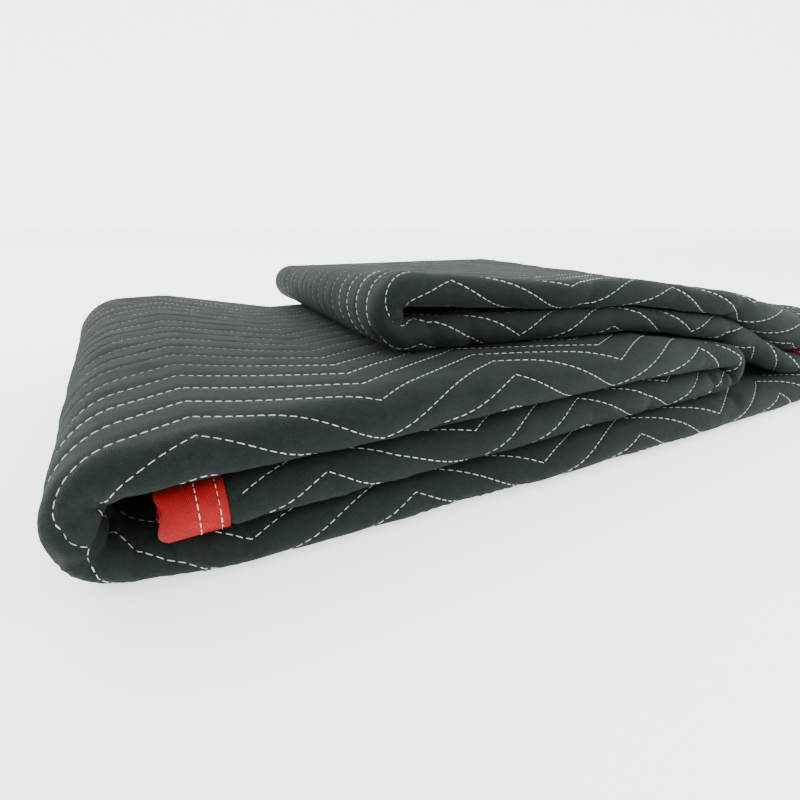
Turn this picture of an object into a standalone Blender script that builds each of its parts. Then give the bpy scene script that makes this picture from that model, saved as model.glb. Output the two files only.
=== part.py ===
"""A quilted moving pad, folded lengthwise into a six-layer strip and then back and forth into a bundle.

X runs along the strip, Y from the smooth ridge at the front to the bound edges at the back, Z up. The strip
is one cross-section of the folded cloth, carried along a path that turns back on itself four times.
"""

from collections import namedtuple

import bmesh
import bpy
import numpy as np

# The pad laid flat: a full-size moving pad, nominally 72 by 80 inches
PAD_WIDTH = 1.829
PAD_LENGTH = 2.073
CLOTH = 0.0022

# The binding: a tape folded over the squeezed edge of the cloth
TAPE_WIDTH = 0.023
TAPE = 0.0004
TAPE_GAP = 0.00043
EDGE_CLOTH = CLOTH - 2 * (TAPE + TAPE_GAP)
TAPER = 0.003
TAPE_JOIN = 0.0004

# The quilting: parallel zigzag rows that run along the strip
ZIGZAG = 0.148
ROW = 0.0168
ZIGZAG_DEPTH = 2.04 * ROW
FIRST_ROW = 0.021
PUFF = 0.0005
ROWS = 15
SHEAR_ROWS = 3.5

# Air between the cloth's layers inside the strip, which sets how thick the strip is
STRIP_LAYERS = 6
PRESSED_AIR = 0.00044
BACK_AIR = 0.00080
RESTING_AIR = 0.00122
LEFT_BACK_AIR = 0.00176
LOOSE_AIR = 0.00232
UPPER_AIR = 0.00100
BULGING_AIR = 0.00320
NOSE_STRETCH = 1.35

# How the strip's layers lie on each other
STRIP_GAP = 0.0010
FOLD_GAP = 0.0010

# Where the strip turns, along X from the zigzag corner nearest the left end
END_A = -0.016
RIGHT_TURN = 0.334
LEFT_TURN = -0.0230
FAR_TURN = 0.459
UPPER_TURN = 0.118
UPPER_TURN_INNER = 0.0030
LEFT_RISE = 0.0015
LEFT_LEAN = 0.037

# Along X, where the layers change from loose to pressed
SWELL_FROM, SWELL_TO = 0.010, 0.110
NOSE_REACH = 0.072
UPPER_REACH = 0.080
BULGE_FROM, BULGE_TO = 0.340, 0.405

# The slope by which the upper layers come down behind the inner right turn
SLOPE_ANGLE = np.radians(24.0)
SLOPE_MIDDLE = 0.3805
FOOT_RADIUS = 0.034
NEARLY_FLAT = 0.9

# The upper layers lie askew: how far their ridge stands back, and how far X moves over the strip's width
Skew = namedtuple("Skew", "x back lean")
UPPER_SKEW = [
    Skew(0.080, 0.060, 0.110),
    Skew(0.118, 0.053, 0.108),
    Skew(0.262, 0.024, 0.106),
    Skew(0.334, 0.012, 0.100),
    Skew(0.459, -0.006, 0.078),
]
LEAN_FROM = 0.300

# The lowest layer's ridge stands back at the left turn and comes forward to the right
Wander = namedtuple("Wander", "x back")
LOWEST_RIDGE = [
    Wander(-0.023, 0.011),
    Wander(0.000, 0.003),
    Wander(0.030, 0.001),
    Wander(0.110, -0.002),
    Wander(0.180, -0.007),
    Wander(0.300, -0.010),
    Wander(0.459, -0.011),
]

# Steps of the mesh
TURN_STEP = np.radians(45.0)
WIDE_TURN_STEP = np.radians(36.0)
WIDE_TURN = 0.005
SLOPE_STEP = np.radians(30.0)
DENSE_TURN_STEP = np.radians(2.5)
DENSE_STEP = 0.003
NEAREST_STATIONS = 0.013
MERGED = 0.0012

# Points round each bend of the cloth inside the strip, by its place along the cloth
BEND_POINTS = {1: 7, 3: 3, 5: 4, 7: 3, 9: 3}

COLOURS = {"pad": (0.022, 0.025, 0.024), "binding": (0.62, 0.015, 0.018)}


def strip_thickness(air):
    return STRIP_LAYERS * CLOTH + (STRIP_LAYERS - 1) * air


# The heights of the layers at the ridge, from the floor up
THIN = strip_thickness(PRESSED_AIR)
RESTING = strip_thickness(RESTING_AIR)
LOOSE = strip_thickness(LOOSE_AIR)
MIDDLE_UNDERSIDE = RESTING + STRIP_GAP
TOP_UNDERSIDE = MIDDLE_UNDERSIDE + RESTING + STRIP_GAP
TOP_SURFACE = TOP_UNDERSIDE + LOOSE

# The inner right turn, whose nose the upper layers lie over
NOSE_INNER = 0.0009
NOSE_TOP = MIDDLE_UNDERSIDE + 2 * THIN + 2 * NOSE_INNER
NOSE_HEIGHT = (MIDDLE_UNDERSIDE + NOSE_TOP) / 2
NOSE_FROM = RIGHT_TURN - NOSE_REACH
NOSE_MIDDLE = RIGHT_TURN - NOSE_REACH / 2
SEAM_AT_NOSE = NOSE_TOP + PUFF + FOLD_GAP + THIN + STRIP_GAP / 2
LOW_SEAM = RESTING + STRIP_GAP + THIN + STRIP_GAP / 2

# One point of the path, on the strip's inner face: its place, the way out to the outer face, the air between
# the cloth's layers at the ridge and at the back, how far the inner face falls towards the back, the share of
# the quilting's relief on the outer face, how far back the ridge stands, how far X leans over the width, and
# whether it is an upper layer
PathPoint = namedtuple("PathPoint", "x z out_x out_z front_air back_air fall puff back lean upper")


def smooth(value):
    t = np.clip(value, 0.0, 1.0)
    return t * t * (3 - 2 * t)


def mix(a, b, t):
    return a + (b - a) * t


def near_nose(x):
    """0 along the lower layers, 1 where they reach the inner right turn."""
    return np.clip((x - RIGHT_TURN + NOSE_REACH) / NOSE_REACH, 0, 1)


def swollen(x):
    """0 at the round left end, 1 where the lower layers are loose at the ridge and pressed at the back."""
    return np.clip((x - SWELL_FROM) / (SWELL_TO - SWELL_FROM), 0, 1)


def back_air(x):
    return mix(mix(LEFT_BACK_AIR, BACK_AIR, swollen(x)), PRESSED_AIR, near_nose(x))


def top_back_air(x):
    return mix(LEFT_BACK_AIR, PRESSED_AIR, swollen(x))


def bottom_back_air(x):
    return mix(LEFT_BACK_AIR, BACK_AIR, swollen(x))


def layer_fall(front, back):
    """How much thinner the strip is at the back than at the ridge."""
    return strip_thickness(front) - strip_thickness(back)


def bottom_fall(x):
    return layer_fall(RESTING_AIR, bottom_back_air(x))


def middle_front_air(x):
    return mix(RESTING_AIR, PRESSED_AIR, near_nose(x))


def top_front_air(x):
    return mix(mix(RESTING_AIR, LOOSE_AIR, swollen(x)), PRESSED_AIR, near_nose(x))


def top_surface(x):
    """The height of the top layer's ridge over the floor."""
    lowered = (LOOSE - RESTING - LEFT_RISE) * (1 - swollen(x))
    return TOP_SURFACE - lowered - (TOP_SURFACE - NOSE_TOP) * near_nose(x)


def middle_fall(x):
    return bottom_fall(x) + layer_fall(middle_front_air(x), back_air(x))


def top_fall(x):
    return middle_fall(x) + layer_fall(top_front_air(x), top_back_air(x))


def left_lean(x):
    return LEFT_LEAN * (1 - swollen(x))


def bottom_lean(x):
    return left_lean(x) + UPPER_SKEW[-1].lean * np.clip((x - LEAN_FROM) / (FAR_TURN - LEAN_FROM), 0, 1)


def middle_layer(x):
    front = middle_front_air(x)
    z = MIDDLE_UNDERSIDE + strip_thickness(front)
    return PathPoint(x, z, 0, -1, front, back_air(x), middle_fall(x), 0, 0, left_lean(x), 0)


def top_layer(x):
    front = top_front_air(x)
    z = top_surface(x) - strip_thickness(front)
    return PathPoint(x, z, 0, 1, front, top_back_air(x), middle_fall(x), 1, 0, left_lean(x), 0)


def bottom_layer(x):
    back = np.interp(x, [row.x for row in LOWEST_RIDGE], [row.back for row in LOWEST_RIDGE])
    return PathPoint(x, RESTING, 0, -1, RESTING_AIR, bottom_back_air(x), bottom_fall(x), 0, back,
                     bottom_lean(x), 0)


def upper_air(x):
    """The air at the upper layers' ridge: they are loose at their left turn and pressed at the nose."""
    return mix(UPPER_AIR, PRESSED_AIR, np.clip((x - UPPER_TURN) / (NOSE_FROM - UPPER_TURN), 0, 1))


def seam(x):
    """The height between the fourth and uppermost layers over the top layer."""
    return top_surface(x) + PUFF + FOLD_GAP + strip_thickness(upper_air(x)) + STRIP_GAP / 2


def upper_layer(x):
    widened = np.clip((UPPER_TURN + UPPER_REACH - x) / UPPER_REACH, 0, 1)
    z = seam(x) + STRIP_GAP / 2 + widened * (2 * UPPER_TURN_INNER - STRIP_GAP)
    bulging = np.clip((x - BULGE_FROM) / (BULGE_TO - BULGE_FROM), 0, 1)
    front = mix(upper_air(x), BULGING_AIR, bulging)
    fall = layer_fall(upper_air(x), PRESSED_AIR) + widened * (2 * UPPER_TURN_INNER - STRIP_GAP)
    return PathPoint(x, z, 0, 1, front, PRESSED_AIR, fall, 1, 0, 0, 1)


def fourth_layer(x):
    front = upper_air(x)
    fall = layer_fall(front, PRESSED_AIR)
    return PathPoint(x, seam(x) - STRIP_GAP / 2, 0, -1, front, PRESSED_AIR, fall, 0, 0, 0, 1)


def turn(x, z, radius, start, before, after):
    """Points round a half turn to the left, from the angle start, between the layers before and after it."""
    count = int(np.ceil(np.pi / DENSE_TURN_STEP))
    points = []
    for share in np.linspace(0, 1, count + 1):
        angle = start + np.pi * share
        blend = [mix(a, b, share) for a, b in zip(before[4:7], after[4:7])]
        puff = mix(before.puff, after.puff, smooth(share))
        rest = [mix(a, b, share) for a, b in zip(before[8:], after[8:])]
        out_x, out_z = np.cos(angle), np.sin(angle)
        points.append(PathPoint(x + radius * out_x, z + radius * out_z, out_x, out_z, *blend, puff, *rest))
    return points


def along(x_from, x_to):
    count = max(2, int(np.ceil(abs(x_to - x_from) / DENSE_STEP)))
    return np.linspace(x_from, x_to, count + 1)


def slope(lift):
    """(x, z, up_x, up_z) down the seam between the fourth and uppermost layers, moved up by lift."""
    crest = SEAM_AT_NOSE - NOSE_HEIGHT
    radii = crest + FOOT_RADIUS
    straight = (SEAM_AT_NOSE - LOW_SEAM - radii * (1 - np.cos(SLOPE_ANGLE))) / np.sin(SLOPE_ANGLE)
    foot_x = RIGHT_TURN + radii * np.sin(SLOPE_ANGLE) + straight * np.cos(SLOPE_ANGLE)
    foot_z = LOW_SEAM + FOOT_RADIUS
    angles = np.linspace(0, SLOPE_ANGLE, int(np.ceil(SLOPE_ANGLE / DENSE_TURN_STEP)) + 1)
    points = []
    for a in angles:
        points.append((RIGHT_TURN + (crest + lift) * np.sin(a), NOSE_HEIGHT + (crest + lift) * np.cos(a),
                       np.sin(a), np.cos(a)))
    for a in angles[::-1]:
        points.append((foot_x - (FOOT_RADIUS - lift) * np.sin(a), foot_z - (FOOT_RADIUS - lift) * np.cos(a),
                       np.sin(a), np.cos(a)))
    return points + [(x, LOW_SEAM + lift, 0, 1) for x in along(foot_x, FAR_TURN)[1:]]


def whole_path():
    """The strip's inner face from its first end to beyond its second, as dense points."""
    half = np.pi / 2
    left_from, left_to = top_layer(LEFT_TURN), bottom_layer(LEFT_TURN)
    left_inner = (left_from.z - left_to.z) / 2
    far_to = upper_layer(FAR_TURN)._replace(z=LOW_SEAM + STRIP_GAP / 2)
    far_inner = (far_to.z - RESTING) / 2
    path = [middle_layer(x) for x in along(END_A, RIGHT_TURN)]
    path += turn(RIGHT_TURN, NOSE_HEIGHT, NOSE_INNER, -half, middle_layer(RIGHT_TURN), top_layer(RIGHT_TURN))
    path += [top_layer(x) for x in along(RIGHT_TURN, LEFT_TURN)]
    path += turn(LEFT_TURN, left_to.z + left_inner, left_inner, half, left_from, left_to)
    path += [bottom_layer(x) for x in along(LEFT_TURN, FAR_TURN)]
    path += turn(FAR_TURN, RESTING + far_inner, far_inner, -half, bottom_layer(FAR_TURN), far_to)
    path += [upper_layer(x)._replace(z=z, out_x=up_x, out_z=up_z)
             for x, z, up_x, up_z in slope(STRIP_GAP / 2)[::-1]]
    path += [upper_layer(x) for x in along(RIGHT_TURN, UPPER_TURN)]
    path += turn(UPPER_TURN, seam(UPPER_TURN) - STRIP_GAP / 2 + UPPER_TURN_INNER, UPPER_TURN_INNER, half,
                 upper_layer(UPPER_TURN), fourth_layer(UPPER_TURN))
    path += [fourth_layer(x) for x in along(UPPER_TURN, RIGHT_TURN)]
    path += [fourth_layer(x)._replace(z=z, out_x=-up_x, out_z=-up_z)
             for x, z, up_x, up_z in slope(-STRIP_GAP / 2)]
    return path


class Path:
    """The dense path as arrays, read at any length along the strip's middle."""

    def __init__(self):
        points = np.array(whole_path(), float)
        middle = points[:, :2] + points[:, 2:4] * strip_thickness(points[:, 4:5]) / 2
        steps = np.linalg.norm(np.diff(middle, axis=0), axis=1)
        keep = np.concatenate([[True], steps > 1e-7])
        self.points = points[keep]
        self.length = np.concatenate([[0.0], np.cumsum(steps)])[keep]
        self.angle = np.unwrap(np.arctan2(self.points[:, 3], self.points[:, 2]))

    def at(self, length):
        columns = [np.interp(length, self.length, column) for column in self.points.T]
        angle = np.interp(length, self.length, self.angle)
        columns[2], columns[3] = np.cos(angle), np.sin(angle)
        return PathPoint(*columns)

    def flat_lengths(self, x, facing_up, upper):
        """The lengths at which a flat layer of one kind passes x."""
        found = []
        for i in np.flatnonzero(np.diff(np.sign(self.points[:, 0] - x))):
            here, there = self.points[i], self.points[i + 1]
            if here[3] * (1 if facing_up else -1) > NEARLY_FLAT and round(here[-1]) == upper:
                share = (x - here[0]) / (there[0] - here[0])
                found.append(float(mix(self.length[i], self.length[i + 1], share)))
        return found


PATH = Path()
TOP_PEAK = PATH.flat_lengths(0.0, True, 0)[0]


def zigzag(length):
    """How far the rows stand from the back here, from 0 at a peak to -ZIGZAG_DEPTH in a valley."""
    phase = ((length - TOP_PEAK) / ZIGZAG) % 1.0
    return -ZIGZAG_DEPTH * (1 - abs(1 - 2 * phase))


def skew(x):
    places = [row.x for row in UPPER_SKEW]
    return (np.interp(x, places, [row.back for row in UPPER_SKEW]),
            np.interp(x, places, [row.lean for row in UPPER_SKEW]))


def nose_depth(front_air):
    """How far the centre of the ridge's bend lies behind the ridge."""
    return strip_thickness(front_air) / 2 * NOSE_STRETCH


def strip_width():
    """The width that uses up the pad's width in six layers, three bends at the ridge and two at the back."""
    pitch = CLOTH + RESTING_AIR
    bends = sum(np.pi * pitch * (pair + 0.5) * (1 + NOSE_STRETCH) / 2 for pair in range(3))
    bends += 2 * np.pi * pitch / 2
    straight = PAD_WIDTH - bends + STRIP_LAYERS * nose_depth(RESTING_AIR) + 4 * pitch / 2
    return straight / STRIP_LAYERS


STRIP_WIDTH = strip_width()


class SheetLine:
    """The middle of the cloth in one cross-section, from its outer free edge to the one inside."""

    def __init__(self, front_air, back_air):
        self.front_air, self.back_air = front_air, back_air
        self.depth = nose_depth(front_air)
        self.bend = (CLOTH + back_air) / 2
        back = STRIP_WIDTH - self.bend
        pieces = [
            self.panel(0, STRIP_WIDTH, self.depth), self.ridge_bend(0, 5),
            self.panel(5, self.depth, back), self.back_bend(5, 4),
            self.panel(4, back, self.depth), self.ridge_bend(4, 1),
            self.panel(1, self.depth, back), self.back_bend(1, 2),
            self.panel(2, back, self.depth), self.ridge_bend(2, 3),
            self.panel(3, self.depth, STRIP_WIDTH),
        ]
        self.points = np.concatenate([pieces[0]] + [piece[1:] for piece in pieces[1:]])
        steps = np.linalg.norm(np.diff(self.points, axis=0), axis=1)
        self.run = np.concatenate([[0.0], np.cumsum(steps)])
        self.starts = self.run[np.cumsum([0] + [len(piece) - 1 for piece in pieces])]
        ahead = np.gradient(self.points, self.run, axis=0)
        self.heading = np.unwrap(np.arctan2(ahead[:, 1], ahead[:, 0]))
        self.ridge = (self.starts[1] + self.starts[2]) / 2
        self.half_ridge = (self.starts[2] - self.starts[1]) / 2

    def level(self, layer, across):
        air = mix(self.front_air, self.back_air, across / STRIP_WIDTH)
        return CLOTH / 2 + layer * (CLOTH + air)

    def panel(self, layer, start, end):
        across = np.linspace(start, end, 9)
        return np.stack([across, self.level(layer, across)], 1)

    def bend_points(self, first, last, across, reach, count):
        a, b = self.level(first, across), self.level(last, across)
        angle = np.linspace(0, np.pi, count)
        return np.stack([across + np.sin(angle) * reach * abs(b - a) / 2,
                         (a + b) / 2 + (a - b) / 2 * np.cos(angle)], 1)

    def ridge_bend(self, first, last):
        return self.bend_points(first, last, self.depth, -NOSE_STRETCH, 33)

    def back_bend(self, first, last):
        return self.bend_points(first, last, STRIP_WIDTH - self.bend, 1.0, 17)

    def at(self, run, offset):
        """(across, up) at lengths along the line, moved off it by offset towards the cloth's outer face."""
        across = np.interp(run, self.run, self.points[:, 0])
        up = np.interp(run, self.run, self.points[:, 1])
        heading = np.interp(run, self.run, self.heading)
        return np.stack([across - np.sin(heading) * offset, up + np.cos(heading) * offset], -1)

    def middle(self, piece):
        return (self.starts[piece] + self.starts[piece + 1]) / 2

    def shares(self, piece):
        """Lengths spaced evenly over one bend, its ends included."""
        return list(np.linspace(self.starts[piece], self.starts[piece + 1], BEND_POINTS[piece]))


def in_world(length, section):
    """Carries points of the strip's cross-section, as (across, up), to their place along the path."""
    spot = PATH.at(length)
    section = np.asarray(section)
    across, up = section[:, 0], section[:, 1]
    back, lean = skew(spot.x)
    x = spot.x + up * spot.out_x + mix(spot.lean, lean, spot.upper) * across
    y = across + mix(spot.back, back, spot.upper)
    at_ridge, at_back = upper_falls(spot.x)
    z = spot.z + up * spot.out_z - spot.fall * across / STRIP_WIDTH
    z = z - spot.upper * mix(at_ridge, at_back, across / STRIP_WIDTH)
    return np.stack([x, y, z], 1)


def upper_falls(x):
    """How far the upper layers lie below their path at the ridge and at the back."""
    places = np.array([UPPER_TURN, NOSE_FROM, RIGHT_TURN, FAR_TURN])
    back, lean = skew(places)
    far_x, far_y = places + lean * STRIP_WIDTH, back + STRIP_WIDTH
    at_ridge = top_fall(places) * back / STRIP_WIDTH
    at_back = top_surface(places) - top_surface(far_x) + top_fall(far_x) * far_y / STRIP_WIDTH
    return np.interp(x, places, at_ridge), np.interp(x, places, at_back)


def turn_lengths():
    """Lengths at the ends of each bend of the path and at even steps round it."""
    found = []
    lengths, angles = PATH.length, PATH.angle
    bending = np.abs(np.diff(angles)) > 1e-6
    edges = np.flatnonzero(np.diff(np.concatenate([[0], bending.astype(int), [0]])))
    for first, last in zip(edges[::2], edges[1::2]):
        sweep = abs(angles[last] - angles[first])
        inner = abs(PATH.points[last, 1] - PATH.points[first, 1]) / 2
        half_turn = WIDE_TURN_STEP if inner > WIDE_TURN else TURN_STEP
        step = half_turn if sweep > np.pi / 2 else SLOPE_STEP
        count = int(np.ceil(sweep / step - 1e-6))
        order = np.argsort(angles[first:last + 1])
        found += list(np.interp(np.linspace(angles[first], angles[last], count + 1),
                                angles[first:last + 1][order], lengths[first:last + 1][order]))
    return found


def stations():
    """Lengths along the strip that get a cross-section: bound ends, turns, changes of air, zigzag corners."""
    end = PAD_LENGTH
    fixed = [0.0, TAPE_WIDTH, TAPE_WIDTH + TAPER, end - TAPE_WIDTH - TAPER, end - TAPE_WIDTH, end]
    fixed += turn_lengths()
    for x, facing_up, upper in ((NOSE_FROM, True, 0), (NOSE_FROM, False, 0), (SWELL_TO, True, 0),
                                (SWELL_TO, False, 0), (SWELL_FROM, True, 0), (SWELL_FROM, False, 0),
                                (NOSE_FROM, True, 1), (NOSE_FROM, False, 1), (NOSE_MIDDLE, True, 1),
                                (NOSE_MIDDLE, False, 1), (SLOPE_MIDDLE, True, 1), (SLOPE_MIDDLE, False, 1),
                                (UPPER_TURN + UPPER_REACH, True, 1)):
        fixed += PATH.flat_lengths(x, facing_up, upper)
    kept = []
    for length in sorted(fixed):
        taped = 0 < length < TAPE_WIDTH - 1e-6 or end - TAPE_WIDTH + 1e-6 < length < end
        if 0 <= length <= end and not taped and (not kept or length - kept[-1] > MERGED):
            kept.append(length)
    corners = np.arange(TOP_PEAK % (ZIGZAG / 2), end, ZIGZAG / 2)
    corners = [c for c in corners if not (PATH.at(c).upper > 0.5 and PATH.at(c).x > NOSE_FROM)]
    kept += [c for c in corners if min(abs(c - k) for k in kept) > NEAREST_STATIONS]
    return sorted(kept)


def bound(length):
    return length < TAPE_WIDTH + TAPER / 2 or length > PAD_LENGTH - TAPE_WIDTH - TAPER / 2


def row_runs(line, length):
    """(length along the cloth, raised by) round the plain ridge, then at each stitched row and crest."""
    spot = PATH.at(length)
    shift = zigzag(np.clip(length, TAPE_WIDTH, PAD_LENGTH - TAPE_WIDTH))
    rows = [(run, 0) for run in line.shares(1)]
    for step in range(2 * ROWS):
        u = FIRST_ROW + ZIGZAG_DEPTH + step * ROW / 2
        u += shift * np.clip((step + 1) / 2 / SHEAR_ROWS, 0, 1)
        raised = 0 if bound(length) else (PUFF if step % 2 else -PUFF) * spot.puff
        rows.append((line.ridge + u, raised))
    return rows


def cross_section(length):
    """The closed outline of the cloth at one length along the strip: its outer face, then its inner one."""
    spot = PATH.at(length)
    line = SheetLine(spot.front_air, spot.back_air)
    end = line.run[-1]
    free = [0.0, TAPE_WIDTH, TAPE_WIDTH + TAPER]
    last_free = [end - run for run in free[::-1]]
    start = free + [line.middle(0)]
    hidden = line.shares(3)
    for bend in (5, 7, 9):
        hidden += [line.middle(bend - 1)] + line.shares(bend)
    hidden += [line.middle(10)] + last_free
    outer = [(run, 0) for run in start] + row_runs(line, length) + [(run, 0) for run in hidden]
    inner = start + line.shares(1) + [line.middle(2)] + hidden

    def half(run):
        squeezed = bound(length) or min(run, end - run) < TAPE_WIDTH + TAPER / 2
        return (EDGE_CLOTH if squeezed else CLOTH) / 2

    outer_points = [line.at(run, half(run) + raised) for run, raised in outer]
    inner_points = [line.at(run, -half(run)) for run in inner[::-1]]
    return in_world(length, outer_points + inner_points)


def triangles(a, b, c, d):
    """Splits a quad along the diagonal that runs back and to the right, as in the layers around it."""
    forward = d.co - a.co
    sideways = b.co - a.co
    if (forward.x + forward.z * 0.01) * sideways.y >= 0:
        return (a, b, c), (a, c, d)
    return (a, b, d), (b, c, d)


def mesh_of_rings(name, rings, caps):
    """A closed mesh through rings of as many points each; caps lists the faces that close a ring."""
    mesh = bpy.data.meshes.new(name)
    bm = bmesh.new()
    rows = [[bm.verts.new(point) for point in ring] for ring in rings]
    count = len(rows[0])
    for near, far in zip(rows, rows[1:]):
        for i in range(count):
            j = (i + 1) % count
            for corners in triangles(near[i], near[j], far[j], far[i]):
                bm.faces.new(corners)
    for cap in caps:
        bm.faces.new([rows[0][i] for i in cap[::-1]])
        bm.faces.new([rows[-1][i] for i in cap])
    bmesh.ops.recalc_face_normals(bm, faces=bm.faces)
    bm.to_mesh(mesh)
    bm.free()
    mesh.shade_smooth()
    mesh.set_sharp_from_angle(angle=np.radians(60))
    return mesh


def pad_mesh():
    rings = [cross_section(length) for length in stations()]
    return mesh_of_rings("pad", rings, [list(range(len(rings[0])))])


# The tape's profile as (distance in from the cloth's edge, height off the cloth's middle), and its caps
TAPE_OUTSIDE = EDGE_CLOTH / 2 + TAPE_GAP + TAPE
TAPE_INSIDE = EDGE_CLOTH / 2 + TAPE_GAP
TAPE_PROFILE = [
    (TAPE_WIDTH, TAPE_OUTSIDE), (-TAPE_GAP - TAPE, TAPE_OUTSIDE),
    (-TAPE_GAP - TAPE, -TAPE_OUTSIDE), (TAPE_WIDTH, -TAPE_OUTSIDE),
    (TAPE_WIDTH, -TAPE_INSIDE), (-TAPE_GAP, -TAPE_INSIDE),
    (-TAPE_GAP, TAPE_INSIDE), (TAPE_WIDTH, TAPE_INSIDE),
]
TAPE_CAPS = [(0, 1, 6, 7), (1, 2, 5, 6), (2, 3, 4, 5)]


def end_tape_mesh(name, at_start):
    """The tape over a short edge, which follows the cloth through all six layers of the strip."""
    edge, inward = (0.0, 1) if at_start else (PAD_LENGTH, -1)
    rings = []
    for i in range(len(tape_shares(edge))):
        ring = []
        for inset, height in TAPE_PROFILE:
            length = edge + inward * inset
            spot = PATH.at(np.clip(length, 0, PAD_LENGTH))
            line = SheetLine(spot.front_air, spot.back_air)
            run = tape_shares(np.clip(length, 0, PAD_LENGTH))[i]
            point = in_world(np.clip(length, 0, PAD_LENGTH), [line.at(run, height)])[0]
            beyond = length - np.clip(length, 0, PAD_LENGTH)
            ring.append(point + beyond * travel(edge))
        rings.append(ring)
    return mesh_of_rings(name, rings, TAPE_CAPS)


def travel(length):
    """The direction of the path at one of its ends."""
    step = 0.002 if length < PAD_LENGTH / 2 else -0.002
    here, there = PATH.at(length), PATH.at(length + step)
    way = np.array([there.x - here.x, 0, there.z - here.z]) / step
    return way / np.linalg.norm(way)


def tape_shares(length):
    """Lengths along the cloth's line where an end tape has a ring."""
    spot = PATH.at(length)
    line = SheetLine(spot.front_air, spot.back_air)
    runs = [0.0]
    for bend in BEND_POINTS:
        runs += [line.middle(bend - 1)] + line.shares(bend)
    return runs + [line.middle(10), line.run[-1]]


def side_tape_mesh(name, at_first_edge):
    """The tape over a long edge, along the whole path at the back of the strip."""
    clear = TAPE_WIDTH + TAPE_JOIN
    lengths = [clear] + [s for s in stations() if clear < s < PAD_LENGTH - clear] + [PAD_LENGTH - clear]
    rings = []
    for length in lengths:
        spot = PATH.at(length)
        line = SheetLine(spot.front_air, spot.back_air)
        ring = []
        for inset, height in TAPE_PROFILE:
            edge = 0.0 if at_first_edge else line.run[-1]
            run = inset if at_first_edge else edge - inset
            point = line.at(np.clip(run, 0, line.run[-1]), height)
            beyond = max(0.0, -inset)
            ring.append(point + np.array([beyond, 0.0]))
        rings.append(in_world(length, ring))
    return mesh_of_rings(name, rings, TAPE_CAPS)


def material(name, roughness):
    made = bpy.data.materials.new(name)
    made.use_nodes = True
    shader = made.node_tree.nodes["Principled BSDF"]
    shader.inputs["Base Color"].default_value = (*COLOURS[name], 1)
    shader.inputs["Roughness"].default_value = roughness
    shader.inputs["Metallic"].default_value = 0.0
    return made


def main():
    for old in list(bpy.data.objects):
        bpy.data.objects.remove(old)
    parts = bpy.data.collections.new("moving_pad")
    bpy.context.scene.collection.children.link(parts)
    cloth, tape = material("pad", 0.92), material("binding", 0.75)
    meshes = [
        (pad_mesh(), cloth),
        (end_tape_mesh("binding_end_a", True), tape),
        (end_tape_mesh("binding_end_b", False), tape),
        (side_tape_mesh("binding_side_a", True), tape),
        (side_tape_mesh("binding_side_b", False), tape),
    ]
    points = np.concatenate([[tuple(v.co) for v in mesh.vertices] for mesh, _ in meshes])
    low, high = points.min(0), points.max(0)
    centre = ((low[0] + high[0]) / 2, (low[1] + high[1]) / 2, low[2])
    for mesh, finish in meshes:
        mesh.materials.append(finish)
        piece = bpy.data.objects.new(mesh.name, mesh)
        piece.location = [-c for c in centre]
        parts.objects.link(piece)
    bpy.context.view_layer.update()


main()
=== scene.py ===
"""Looks of a folded moving pad: fine quilted cloth, its stitching, and the red binding.

The cloth is one cross-section carried along the strip's path, as in the solids, in metres. Lengths run along
the strip; runs go round the folded section, counted along the cloth.
"""

from collections import namedtuple

import bmesh
import bpy
import numpy as np
from mathutils import Matrix, Vector, noise


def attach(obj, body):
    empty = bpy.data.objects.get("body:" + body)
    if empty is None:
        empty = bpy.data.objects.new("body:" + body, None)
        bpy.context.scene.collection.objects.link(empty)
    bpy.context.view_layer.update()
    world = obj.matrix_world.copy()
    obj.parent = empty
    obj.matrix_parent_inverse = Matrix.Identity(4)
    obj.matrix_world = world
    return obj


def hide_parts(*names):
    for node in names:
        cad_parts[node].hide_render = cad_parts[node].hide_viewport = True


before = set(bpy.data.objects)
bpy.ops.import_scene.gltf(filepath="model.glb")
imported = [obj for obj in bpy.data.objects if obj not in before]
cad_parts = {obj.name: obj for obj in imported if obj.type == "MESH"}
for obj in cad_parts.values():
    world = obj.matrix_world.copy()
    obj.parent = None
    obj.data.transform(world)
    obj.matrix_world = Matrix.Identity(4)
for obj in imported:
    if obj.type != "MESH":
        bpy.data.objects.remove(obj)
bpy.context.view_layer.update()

# The pad laid flat: a full-size moving pad, nominally 72 by 80 inches
PAD_WIDTH = 1.829
PAD_LENGTH = 2.073
CLOTH = 0.0022

# The binding: a tape folded over the squeezed edge of the cloth
TAPE_WIDTH = 0.023
TAPE = 0.0004
TAPE_GAP = 0.00043
EDGE_CLOTH = CLOTH - 2 * (TAPE + TAPE_GAP)
TAPER = 0.003
TAPE_JOIN = 0.0004

# The quilting: parallel zigzag rows that run along the strip
ZIGZAG = 0.148
PUFF = 0.0005

# Air between the cloth's layers inside the strip, which sets how thick the strip is
STRIP_LAYERS = 6
PRESSED_AIR = 0.00044
BACK_AIR = 0.00080
RESTING_AIR = 0.00122
LEFT_BACK_AIR = 0.00176
LOOSE_AIR = 0.00232
UPPER_AIR = 0.00100
BULGING_AIR = 0.00320
NOSE_STRETCH = 1.35

# How the strip's layers lie on each other
STRIP_GAP = 0.0010
FOLD_GAP = 0.0010

# Where the strip turns, along X from the zigzag corner nearest the left end
END_A = -0.016
RIGHT_TURN = 0.334
LEFT_TURN = -0.0230
FAR_TURN = 0.459
UPPER_TURN = 0.118
UPPER_TURN_INNER = 0.0030
LEFT_RISE = 0.0015
LEFT_LEAN = 0.037

# Along X, where the layers change from loose to pressed
SWELL_FROM, SWELL_TO = 0.010, 0.110
NOSE_REACH = 0.072
UPPER_REACH = 0.080
BULGE_FROM, BULGE_TO = 0.340, 0.405

# The slope by which the upper layers come down behind the inner right turn
SLOPE_ANGLE = np.radians(24.0)
FOOT_RADIUS = 0.034
NEARLY_FLAT = 0.9

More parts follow.
